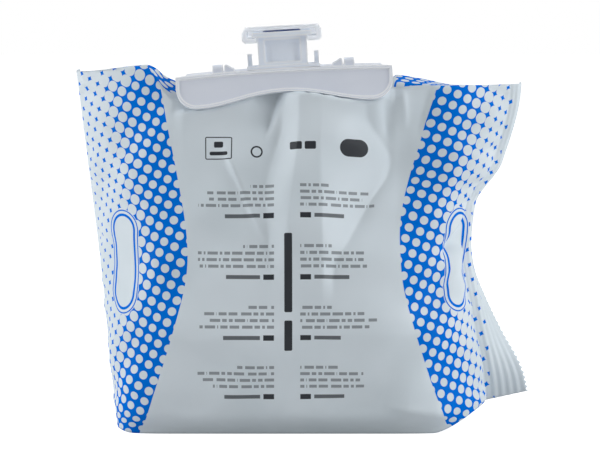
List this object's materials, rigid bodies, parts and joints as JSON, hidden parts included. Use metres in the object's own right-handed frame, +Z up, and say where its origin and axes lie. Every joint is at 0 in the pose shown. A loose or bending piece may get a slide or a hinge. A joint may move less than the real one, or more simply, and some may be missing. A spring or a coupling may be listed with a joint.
{
  "type": "liquid soap refill pack",
  "caption": "Filled gusseted film refill pack for liquid soap that stands on its base, with a moulded outlet, a split saddle collar, a blue outlet seal and a clear slide-off cap on top.",
  "frame": {"origin": "on the floor, on the pack's flat base, under the middle of its width", "axes": "+X to the right of the printed front, +Y towards the back, +Z up through the outlet"},
  "size_m": [0.199, 0.0679, 0.1763],
  "materials": {
    "film": "satin printed film",
    "white_plastic": "satin moulded",
    "blue_seal": "satin",
    "clear_plastic": "clear"
  },
  "bodies": {
    "pack": {"pouch": "film", "collar_front": "white_plastic", "collar_back": "white_plastic", "spout": "white_plastic", "outlet_seal": "blue_seal"},
    "cap": {"slide_cap": "clear_plastic"}
  },
  "joints": [
    {"name": "cap_slide", "type": "slide", "parent": "pack", "child": "cap", "axis": [0, 1, 0], "range_m": [0, 0.019]}
  ]
}
